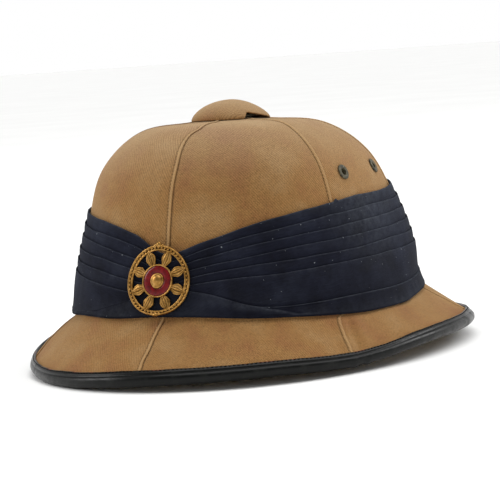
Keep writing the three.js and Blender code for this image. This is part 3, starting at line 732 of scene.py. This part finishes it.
def panelRelief(fromFold, fromUnder, along, seam):
    s = panelSizes
    fold = s["foldRise"] * (1 - smooth(fromFold, s["foldWidth"] - 1.2, s["foldWidth"] + 0.3))
    fold = fold * (0.55 + 0.45 * smooth(fromFold, -0.1, 0.5))
    needle = -0.18 * hump(fromFold, s["stitchFromEdge"], 0.5)
    tucked = -0.12 * (1 - smooth(fromUnder, 0, 1.6))
    puckers = 0.1 * np.exp(-fromFold / 6) * uneven(along, 0.05, 40 + seam) * smooth(fromFold, 2, 4)
    puckers = puckers + 0.1 * np.exp(-fromUnder / 6) * uneven(along, 0.06, 50 + seam)
    slack = smooth(along, 1.1, 1.3) * (1 - smooth(along, 1.75, 1.95))
    if panelNames[seam] == "left_side":      # a slack valley and ridge on the brim, beside the seam
        puckers = puckers + slack * (0.6 * hump(fromUnder, 12, 3.5) - hump(fromUnder, 6, 2.4))
    if panelNames[seam] == "left_front":
        puckers = puckers - slack * 0.5 * hump(fromFold, 8, 3)
    return fold + needle + tucked + puckers


def makePanels():
    s = panelSizes
    for k, name in enumerate(panelNames):
        start = alongAtVent(np.array([60.0 * k + 30]), shellSizes["holeRadius"] + 0.5)[0]
        rows = [np.linspace(start, 0.9, 80), np.linspace(0.91, 1.1, 18), np.linspace(1.13, 2, 34)]
        rows = np.concatenate(rows)
        point = face(60.0 * k + 30, rows)
        radius = np.hypot(point[:, 0], point[:, 1] + crown["topLean"] * (rows < 1))[:, None]
        fromUnder = np.array([0.0, 0.4, 0.9, 1.6, 2.6, 4.0, 6.0])
        fromFold = np.array([8.0, 6.0, 4.6, 3.8, 3.3, 2.9, 2.5, 2.0, 1.4, 0.9, 0.5, 0.2, 0.0])
        reach = np.minimum(1, radius / 40)
        left = seamLine(k, rows)[:, None] + np.degrees((fromUnder[None, :] * reach + 0.05) / radius)
        right = seamLine(k + 1, rows)[:, None] - np.degrees((fromFold[None, :] * reach + 0.05) / radius)
        middle = mix(left[:, -1:], right[:, :1], np.linspace(0, 1, s["columns"])[None, 1:-1])
        azimuth = np.concatenate([left, middle, right], 1)
        along = np.repeat(rows[:, None], azimuth.shape[1], 1)
        under = np.radians(azimuth - seamLine(k, rows)[:, None]) * radius
        fold = np.radians(seamLine(k + 1, rows)[:, None] - azimuth) * radius
        fromSeams = smooth(np.minimum(under, fold), 3, 20)
        slow = 0.22 * uneven(azimuth * 1.2 + along * 40, 33, 60 + k) * fromSeams
        outer = offFace(azimuth, along, panelRelief(fold, under, along, k) + slow)
        inner = offFace(azimuth, along, np.full(along.shape, -s["thickness"]))
        count, wide = azimuth.shape
        down = runAlong(point)
        downs = np.repeat(down[:, None], wide, 1)
        uv, seam = np.stack([(under - fold) / 2, downs], -1), np.stack([fold, downs], -1)
        faces = gridFaces(count, wide)
        faces += [f[::-1] for f in gridFaces(count, wide, start=count * wide)]
        edge = [(i, 0) for i in range(count)] + [(count - 1, j) for j in range(1, wide)]
        edge += [(i, wide - 1) for i in range(count - 2, -1, -1)] + [(0, j) for j in range(wide - 2, 0, -1)]
        ring = [i * wide + j for i, j in edge]
        for a, b in zip(ring, ring[1:] + ring[:1]):
            faces.append([a, b, b + count * wide, a + count * wide])
        points, uvs, seams = [outer, inner], [uv, uv], [seam, seam]
        piece = meshPiece("drill_panel_" + name, points, faces, drillCloth, uvs, seams)
        piece.data.flip_normals()
        if name.endswith("_side"):
            drill(piece, [c for key, c in cutters.items() if key.split("_")[0] == name.split("_")[0]])
        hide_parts("cloth_panel_" + name)
        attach(piece, "root")


makePanels()
for cutter in cutters.values():
    bpy.data.objects.remove(cutter)


# One thread stitch: a short bent capsule, lying along +X
def stitchMesh(length, thick, sides=6, rings=5):
    t = np.linspace(0, 1, rings)
    radius = thick / 2 * np.sqrt(np.maximum(0.12, 1 - (2 * t - 1) ** 4))
    rise = thick * 0.35 * np.sin(np.pi * t)
    a = np.linspace(0, 2 * np.pi, sides, endpoint=False)
    x = np.repeat(((t - 0.5) * length)[:, None], sides, 1)
    y = radius[:, None] * np.cos(a)[None, :]
    z = radius[:, None] * np.sin(a)[None, :] + rise[:, None]
    faces = gridFaces(rings, sides, closedColumns=True)
    faces += [list(range(sides)), list(range((rings - 1) * sides, rings * sides))[::-1]]
    return np.stack([x, y, z], -1).reshape(-1, 3), faces


def stitchRow(name, centres, directions, normals, s, material, slot):
    shape, shapeFaces = stitchMesh(s["stitchLength"], s["stitchThick"])
    x, z = unit(directions), unit(normals)
    y = unit(np.cross(z, x))
    ahead, across, up = (shape[None, :, i:i + 1] for i in range(3))
    points = centres[:, None] + ahead * x[:, None] + across * y[:, None] + up * z[:, None]
    faces = [[v + i * len(shape) for v in f] for i in range(len(centres)) for f in shapeFaces]
    piece = meshPiece(name, points, faces, material)
    piece.data.flip_normals()
    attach(piece, "root")


def makeSeamStitches():
    s = panelSizes
    centres, directions, normals = [], [], []
    for k in range(1, 7):
        rows = np.linspace(0.2, 1.985, 3000)
        azimuth = seamLine(k, rows)
        radius = np.hypot(*face(azimuth, rows)[:, :2].T)
        azimuth = azimuth - np.degrees(s["stitchFromEdge"] / radius)
        line = offFace(azimuth, rows, np.full(rows.shape, 0.02))
        run, height = runAlong(line), line[:, 2]
        places = np.searchsorted(run, np.arange(1, run[-1], s["stitchPitch"]))
        band = (height < bandHeight(azimuth, bandTop(azimuth)) - 3) & (height > waistHeight(azimuth) + 3)
        hidden = band | (np.hypot(line[:, 0], line[:, 1] + crown["topLean"]) < 20)
        places = places[~hidden[places] & (places > 3) & (places < len(rows) - 4)]
        centres.append(line[places])
        directions.append(line[places + 3] - line[places - 3])
        normals.append(faceNormal(azimuth[places], rows[places]))
    joined = [np.concatenate(v) for v in (centres, directions, normals)]
    stitchRow("seam_stitches", *joined, s, threadKhaki, "khaki_drill")


makeSeamStitches()
print("panels and seams made")


bandSizes = {
    "pleats": 5,
    "pleatProud": 1.05,
    "lap": 3.2,             # how far each pleat runs down behind the next
    "lowestProud": 4.0,
    "topProud": 2.1,
    "wrapProud": 3.2,
    "footProud": 3.0,
    "footDrop": 3.5,
    "footRound": 1.5,
    "foldHeight": 7.5,
    "tuftAzimuth": 62.8,    # a tuft of pulled threads on the top edge
    "tuft": 1.6,
    "twistAzimuth": 20,     # a twisted roll beside the badge
    "twistWidth": 10,
    "twistProud": 1.0,
    "creaseAzimuth": 31,    # the roll's lower crease, which runs down to the foot
    "creaseHeight": 5.2,
    "flareAzimuth": 115,    # where the foot stands off
    "flareWidth": 25,
    "flare": 1.4,
    "columns": 600,
}


def makeBand():
    s = bandSizes
    azimuth = np.linspace(0, 360, s["columns"], endpoint=False)
    along = np.linspace(0.2, 1.1, 240)
    grid = face(azimuth[:, None], along[None, :])
    foot = waistHeight(azimuth)
    top, lowest = bandTop(azimuth), bandLowest(azimuth)
    nearFront = hump(np.mod(azimuth + 180, 360), 180, 16)
    edges, prouds = [], []
    for j in range(s["pleats"] + 1):
        share = j / s["pleats"]
        edge = bandHeight(azimuth, mix(top, lowest, share))
        edge = edge + 0.55 * roundUneven(azimuth, 5, 70 + j) * (1 - 0.6 * nearFront)
        edges.append(edge + 0.18 * roundUneven(azimuth, 17, 80 + j))
        prouds.append(mix(s["topProud"], s["lowestProud"], share) + 0.3 * roundUneven(azimuth, 6, 90 + j))
    edges[0] = edges[0] + s["tuft"] * hump(azimuth, s["tuftAzimuth"], 0.8)
    steps = []    # height and how far out, of each point down the cloth

    def step(height, out):
        steps.append((height + 0 * azimuth, out + 0 * azimuth))

    step(edges[0] - 8, 0.5)
    step(edges[0] - 2, 0.55)
    step(edges[0] - 0.15, prouds[0] - 0.9)
    step(edges[0] + 0.1, prouds[0] - 0.4)
    step(edges[0] - 0.2, prouds[0])
    p = s["pleatProud"]
    for j in range(1, s["pleats"] + 1):
        above, edge, proud = edges[j - 1], edges[j], prouds[j]
        lap = np.minimum(s["lap"], (above - edge) * 0.6)
        swell = 0.22 + 0.12 * roundUneven(azimuth, 9, 100 + j)
        for share in (0.15, 0.4, 0.65, 0.88):
            out = mix(prouds[j - 1], proud - p, share) + swell * math.sin(math.pi * share)
            step(mix(above, edge + 0.2, share), out)
        step(edge + 0.2, proud - p - 0.05)
        step(edge - lap, proud - p - 0.1)
        step(edge - lap - 0.25, proud - p * 0.75)
        step(edge - lap, proud - p * 0.5)
        step(edge - 0.6, proud - p * 0.45)
        step(edge - 0.05, proud - p * 0.38)
        step(edge + 0.16, proud - p * 0.18)
        step(edge + 0.02, proud)
        step(edge - 0.5, proud + 0.08)
    fold = bandFold(azimuth)
    foldEdge = foot + s["foldHeight"] * bandFoldUp(azimuth) + 0.4 * roundUneven(azimuth, 6, 110)
    footEdge = foot + 1 - bandDrop(azimuth) * s["footDrop"] + 0.5 * roundUneven(azimuth, 7, 111)
    sag = 0.35 * roundUneven(azimuth, 8, 112)
    for share in (0.12, 0.3, 0.5, 0.7, 0.88):
        out = mix(prouds[-1], s["wrapProud"], smooth(np.array(share), 0, 1)) + sag * math.sin(math.pi * share)
        step(mix(edges[-1], foldEdge, share), out)
    for up, share in ((0.5, -0.1), (0.15, -0.45), (-0.05, -0.1), (0.1, 0.45), (-0.3, 0.75)):
        step(foldEdge + up, s["wrapProud"] + share * fold)
    twist = s["twistProud"] * hump(azimuth, s["twistAzimuth"], s["twistWidth"])
    crease = s["creaseAzimuth"]
    creased = smooth(azimuth, crease - 4, crease) * (1 - smooth(azimuth, crease + 12, crease + 19))
    puff = 0.3 * roundUneven(azimuth, 16, 113) + 0.2 * roundUneven(azimuth, 41, 114)
    footOut = s["footProud"] + 0.2 + s["flare"] * hump(azimuth, s["flareAzimuth"], s["flareWidth"])
    for share in np.linspace(0.1, 0.9, 10):
        height = mix(foldEdge, footEdge + s["footRound"], share)
        out = mix(s["wrapProud"] + 0.7 * fold, footOut, share) + twist * math.sin(math.pi * share)
        fromCrease = height - foot - s["creaseHeight"] + 0.5 * (azimuth - crease)
        out = out + creased * (0.35 * np.tanh(-fromCrease) - 0.7 * hump(fromCrease, 0, 0.8))
        step(height, out + puff * share)
    for turn in np.radians((0, 30, 55, 75, 90)):
        height = footEdge + s["footRound"] * (1 - math.sin(turn))
        step(height, footOut + puff - s["footRound"] * (1 - math.cos(turn)))
    step(footEdge + 0.5, 1.0)
    step(footEdge + 4, 0.6)
    heights, outs = (np.array([x[i] for x in steps]).T for i in (0, 1))
    placesAlong = np.stack([np.interp(-heights[i], -grid[i, :, 2], along) for i in range(len(azimuth))])
    place = face(azimuth[:, None], placesAlong)
    normal = faceNormal(azimuth[:, None], placesAlong)
    normal[..., 2] = 0
    points = place + unit(normal) * outs[..., None]
    down = runAlong(points)
    middle = points[:, points.shape[1] // 2]
    uv = np.stack(np.broadcast_arrays(runAlong(middle)[:, None], down), -1)
    faces = gridFaces(*points.shape[:2], closedRows=True)
    piece = meshPiece("pleated_cloth_band", points, faces, navyCloth, uv)
    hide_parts("pleated_band")
    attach(piece, "root")


makeBand()
print("band made")


bindingSizes = {
    "brimThickness": 5.5,
    "slip": 0.75,         # clearance over the cloth
    "thickness": 1.1,
    "topStrip": 5.4,
    "underStrip": 5.5,
    "groove": 1.0,        # the stitches lie in it, this far from the cut edge
    "grooveRise": 0.84,
    "rollRadius": 3.95,
    "rollBack": 1.2,
    "slimAzimuth": 82,    # the roll is pressed thinner there
    "slimWidth": 25,
    "slimmer": 0.4,
    "pinchAzimuth": 62,   # a fold across the roll
    "pinchWidth": 0.8,
    "pinchDepth": 0.35,
    "pinchSwell": 0.4,
    "stitchPitch": 2.6,
    "stitchLength": 1.7,
    "stitchThick": 0.55,
    "columns": 720,
}


def bindingFrame(azimuth):
    edge = face(azimuth, 2.0)
    outward = faceNormal(azimuth, 1.98)
    downhill = unit(edge - face(azimuth, 1.9))
    return edge, outward, downhill


def makeBinding():
    s = bindingSizes
    azimuth = np.linspace(0, 360, s["columns"], endpoint=False)
    edge, outward, downhill = bindingFrame(azimuth)
    top = s["slip"] + s["thickness"]
    wander = 0.35 * roundUneven(azimuth, 9, 200) + 0.15 * roundUneven(azimuth, 31, 201)
    swell = 0.14 * roundUneven(azimuth, 14, 202) + 0.07 * roundUneven(azimuth, 47, 203)
    under = -(s["brimThickness"] + 0.3)
    steps = []

    def step(run, rise):
        steps.append((run + 0 * azimuth, rise + 0 * azimuth))

    step(-s["topStrip"] + wander, s["slip"] - 0.45)
    step(-s["topStrip"] - 0.1 + wander, s["slip"] + 0.15)
    for run, rise in ((0.15, 0.78), (0.6, 0.9), (s["groove"], s["grooveRise"]), (1.4, 0.92)):
        step(-s["topStrip"] + run + wander, top * rise)
    step(-3.1, top * 0.97 + swell * 0.5)
    for run, rise in ((-2.45, 0.9), (-2.0, 0.45), (-1.6, 0.6)):    # the crease above the roll
        step(run, top * rise)
    slim = s["slimmer"] * hump(azimuth, s["slimAzimuth"], s["slimWidth"])
    fromPinch = np.abs(azimuth - s["pinchAzimuth"])
    pinch = s["pinchDepth"] * hump(fromPinch, 0, s["pinchWidth"])
    pinch = pinch - s["pinchSwell"] * hump(fromPinch, 2, s["pinchWidth"])
    radius = s["rollRadius"] + swell - slim - pinch
    for turn in np.linspace(78, -84, 19):
        run = radius * math.cos(math.radians(turn)) - s["rollBack"]
        step(run, radius * math.sin(math.radians(turn)) - s["brimThickness"] / 2 + slim + pinch)
    step(-2.6, under - s["thickness"] - 0.1)
    step(-s["underStrip"] + 0.3, under - s["thickness"] - 0.45)
    step(-s["underStrip"], under - s["thickness"] + 0.1)
    step(-s["underStrip"] + 0.1, under - 0.2)
    runs, rises = (np.array([x[i] for x in steps]).T for i in (0, 1))
    points = edge[:, None] + downhill[:, None] * runs[..., None] + outward[:, None] * rises[..., None]
    points[..., 2] = np.maximum(points[..., 2], -shiftToFrame[2] + 0.02)
    uv = np.stack(np.broadcast_arrays(runAlong(edge)[:, None], runAlong(points)), -1)
    faces = gridFaces(*points.shape[:2], closedRows=True)
    piece = meshPiece("rolled_leather_binding", points, faces, leather, uv)
    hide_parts("edge_binding")
    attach(piece, "root")
    inward = (-s["topStrip"] + s["groove"] + wander)[:, None]
    line = edge + downhill * inward + outward * (top * s["grooveRise"])
    run = runAlong(line)
    wanted = np.arange(1, run[-1] - 1, s["stitchPitch"])

    def onLine(places, values):
        return np.stack([np.interp(places, run, values[:, i]) for i in range(3)], -1)

    centres, normals = onLine(wanted, line), onLine(wanted, outward)
    directions = onLine(wanted + 0.5, line) - centres
    stitchRow("binding_stitches", centres, directions, normals, s, blackThread, "black_leather")


makeBinding()
print("binding made")


capSizes = {
    "radius": 25.5,
    "rise": 12,
    "wall": 1.4,
    "archHeight": 5,
    "arches": ((44, 54, 112), (284, 276, 226)),    # front end, where it is highest, and back end, in degrees
    "dentDepth": 3.4,
    "fullness": 1.2,
    "foot": 0.75,
}


def makeCap():
    s = capSizes
    ventTop = face(0.0, alongAtVent(np.array([0.0]), shellSizes["holeRadius"])[0])[2]
    azimuth = np.arange(0, 360, 2.5)
    lift = 0 * azimuth
    for front, highest, back in s["arches"]:
        rising = smooth((azimuth - front) / (highest - front), 0, 1)
        falling = np.clip((back - azimuth) / (back - highest), 0, 1) ** 0.7
        lift = lift + s["archHeight"] * rising * falling
    footHeight = face(azimuth, alongAtVent(azimuth, s["radius"]))[:, 2] - ventTop + s["foot"]
    start = np.arcsin(np.minimum(lift / s["rise"], 1) ** (1 / s["fullness"]))

    def surface(share, wall):
        radius = s["radius"] - wall
        angle = mix(start[:, None], np.pi / 2, share[None, :])
        out = radius * np.cos(angle)
        dentSide = np.maximum(0, np.cos(np.radians(azimuth - 90)))[:, None]
        dent = s["dentDepth"] * dentSide ** 2 * (out / radius) ** 1.5 * np.sin(angle)
        domed = (s["rise"] - wall) * np.sin(angle) ** s["fullness"]
        height = footHeight[:, None] * np.cos(angle) ** 2 + domed - dent
        return atAzimuth(azimuth[:, None], out, height)

    share = np.linspace(0, 0.985, 30) ** 1.1
    outer, inner = surface(share, 0), surface(share, s["wall"])
    lip = (outer[:, :1] + inner[:, :1]) / 2
    lip[..., 2] -= 0.35
    loop = np.concatenate([outer[:, ::-1], lip, inner], 1) + np.array([0, -crown["topLean"], ventTop])
    rows, count = loop.shape[:2]
    faces = gridFaces(rows, count, closedRows=True)
    faces.append([i * count for i in range(rows)][::-1])
    faces.append([i * count + count - 1 for i in range(rows)])
    uv, seam = loop[..., :2] * 1.15, np.full((rows, count, 2), 50.0)    # far from any seam
    piece = meshPiece("drill_covered_cap", loop, faces, drillCloth, uv, seam)
    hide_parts("vent_cap")
    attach(piece, "root")


makeCap()
print("cap made")


badgeSizes = {
    "azimuth": -1.5,
    "height": 65.2,
    "halfWidth": 20.5,
    "halfHeight": 21.5,
    "ringWidth": 3.4,
    "plate": 1.1,
    "standOff": 4.6,
    "petals": 8,
    "petalHalfWidth": 3.4,
    "enamelRadius": 9,
    "beads": 52,
    "turns": 72,
}


def ontoBand(points):
    s = badgeSizes
    reach = -face(0.0, alongAtHeight(0.0, s["height"]))[1]
    azimuth = s["azimuth"] + np.degrees(points[:, 0] / reach)
    height = s["height"] + points[:, 1]
    along = alongAtHeight(azimuth, height)
    return offFace(azimuth, along, s["standOff"] + points[:, 2])


def badgeOval(turn, inset):
    s = badgeSizes
    return np.stack([(s["halfWidth"] - inset) * np.cos(turn), (s["halfHeight"] - inset) * np.sin(turn)], -1)


def makeBadge():
    s = badgeSizes
    points, faces = [], []

    def include(grid, gridFacesMade):
        start = sum(len(p) for p in points)
        points.append(np.asarray(grid, float).reshape(-1, 3))
        faces.extend([[v + start for v in f] for f in gridFacesMade])

    turns = np.linspace(0, 2 * np.pi, 160, endpoint=False)
    profile = [(1, 0), (1, 0.8), (0.9, 1.15), (0.8, 1.25), (0.68, 1.05), (0.6, 0.85)]
    profile += [(0.4, 0.85), (0.32, 1.1), (0.2, 1.5), (0.08, 1.4), (0, 1.0), (0, 0)]
    ring = []
    for share, rise in profile:
        flat = badgeOval(turns, share * s["ringWidth"])
        ring.append(np.concatenate([flat, np.full((len(turns), 1), rise * s["plate"])], 1))
    ringFaces = gridFaces(len(turns), len(profile), closedRows=True, closedColumns=True)
    include(np.stack(ring, 1), [f[::-1] for f in ringFaces])
    ball = bmesh.new()
    bmesh.ops.create_icosphere(ball, subdivisions=2, radius=1)
    ballPoints = np.array([v.co for v in ball.verts])
    ballFaces = [[v.index for v in f.verts] for f in ball.faces]
    ball.free()

    def addBead(x, y, rise, wide, tall):
        include(ballPoints * np.array([wide, wide, tall]) + np.array([x, y, rise]), ballFaces)

    for turn in np.linspace(0, 2 * np.pi, s["beads"], endpoint=False):
        addBead(*badgeOval(turn, 0.5 * s["ringWidth"]), 1.2 * s["plate"], 0.62, 0.55)
    for turn in (math.pi / 2, -math.pi / 2):
        x, y = badgeOval(turn, 0)
        addBead(x, y, s["plate"], 1.9, 1.9 * 0.6)
        for side in (-1, 1):
            addBead(x + side * 2.4, y - math.copysign(0.6, y), s["plate"], 1.1, 0.7)
    runs, sides = np.linspace(0, 1, 15), np.linspace(-1, 1, 17)
    half = s["petalHalfWidth"] * np.interp(runs, [0, 0.15, 0.45, 0.7, 1], [0.42, 0.6, 1.0, 0.86, 0.3])
    rib = 0.5 * hump(sides, 0, 0.12)
    vein = 0.16 * np.cos(sides * 14) * (np.abs(sides) < 0.93)
    across = (1.25 - 0.55 * sides ** 2 + rib + vein) * s["plate"]
    rise = across[None, :] * (1 + 0.15 * np.sin(np.pi * runs))[:, None]
    long, wide = len(runs), 2 * len(sides)
    petalFaces = gridFaces(long, wide, closedColumns=True)
    petalFaces += [list(range(wide))[::-1], [(long - 1) * wide + j for j in range(wide)]]
    for i in range(s["petals"]):
        turn = (i + 0.5) * 2 * math.pi / s["petals"]
        c, t = math.cos(turn), math.sin(turn)
        start, end = s["enamelRadius"] + 0.4, float(np.hypot(*badgeOval(turn, s["ringWidth"] * 0.8)))
        x = mix(start, end, runs)[:, None] + 0 * sides[None, :]
        y = half[:, None] * sides[None, :]
        upper = np.stack([x * c - y * t, x * t + y * c, rise], -1)
        lower = upper.copy()
        lower[..., 2] = 0.05
        include(np.concatenate([upper, lower[:, ::-1]], 1), petalFaces)
    rim = s["plate"] * 1.7
    dish = [(0.01, 0), (9.9, 0), (9.95, rim - 0.3), (9.8, rim - 0.05), (9.5, rim + 0.05), (9.1, rim - 0.1)]
    dish += [(9.0, rim - 0.4), (9.0, 0.5), (4.4, 0.5), (4.4, rim - 0.2), (4.25, rim + 0.1), (3.9, rim + 0.35)]
    dish += [(3.5, rim + 0.3), (3.2, rim + 0.55), (2.4, rim + 1.1), (1.5, rim + 1.35), (0.7, rim + 1.5)]
    dish += [(0.01, rim + 1.52)]
    include(latheGrid(dish, s["turns"]), gridFaces(s["turns"], len(dish), closedRows=True))
    piece = meshPiece("gilt_rosette", ontoBand(np.concatenate(points)), faces, gilt)
    faceOutward(piece)
    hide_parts("badge_frame")
    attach(piece, "root")
    glass = [(4.5, 0.6), (8.9, 0.6), (8.9, rim - 0.45), (8.5, rim - 0.2), (7.5, rim - 0.08)]
    glass += [(6.0, rim - 0.08), (4.9, rim - 0.2), (4.5, rim - 0.4)]
    grid = latheGrid(glass, s["turns"]).reshape(-1, 3)
    glassFaces = gridFaces(s["turns"], len(glass), closedRows=True, closedColumns=True)
    enamel = meshPiece("enamel_ring", ontoBand(grid), glassFaces, enamelRed)
    faceOutward(enamel)
    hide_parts("badge_enamel")
    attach(enamel, "root")


makeBadge()
print("badge made")


# The ventilator's collar is the model's own, with a finish given to its slots.
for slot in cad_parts["vent_collar"].material_slots:
    slot.material = japan


studio = {
    "floorHalf": 30,
    "horizon": 1.0,
    "zenith": 0.3,
    "overhead": {"from": (0.15, 0.1, 1.0), "spread": 70, "strength": 2.2},
    "lamps": {
        "left": {"at": (-2.2, -0.9, 1.5), "size": 1.4, "watts": 30},
        "right": {"at": (1.7, 1.7, 1.5), "size": 1.2, "watts": 28},
    },
}


def placeLamp(data, place):
    lamp = bpy.data.objects.new(data.name, data)
    lamp.location = place
    lamp.rotation_mode = "QUATERNION"
    lamp.rotation_quaternion = (Vector((0, 0, 0.08)) - place).to_track_quat("-Z", "Y")
    bpy.context.scene.collection.objects.link(lamp)


def makeStudio():
    mesh = bpy.data.meshes.new("studio_floor")
    half = studio["floorHalf"]
    corners = [(-half, -half, 0), (half, -half, 0), (half, half, 0), (-half, half, 0)]
    mesh.from_pydata(corners, [], [[0, 1, 2, 3]])
    mesh.materials.append(matteWhiteCard())
    floor = bpy.data.objects.new("studio_floor", mesh)
    bpy.context.scene.collection.objects.link(floor)
    world = bpy.data.worlds.new("studio")
    world.use_nodes = True
    tree = world.node_tree
    sideways = addNode(tree, "TexCoord", {}, "Generated")
    height = addNode(tree, "SeparateXYZ", {0: sideways}, "Z")
    sky = addNode(tree, "ValToRGB", {0: height}, stops=[(0.17, studio["horizon"]), (0.45, studio["zenith"])])
    feed(tree.nodes["Background"], {"Color": sky})
    bpy.context.scene.world = world
    overhead = studio["overhead"]
    data = bpy.data.lights.new("overhead", "SUN")
    data.angle, data.energy = math.radians(overhead["spread"]), overhead["strength"]
    placeLamp(data, Vector(overhead["from"]))
    for name, s in studio["lamps"].items():
        data = bpy.data.lights.new(name, "AREA")
        data.shape, data.size, data.energy = "DISK", s["size"], s["watts"]
        placeLamp(data, Vector(s["at"]))


makeStudio()
bpy.context.scene.view_settings.view_transform = "Standard"
print("studio made")
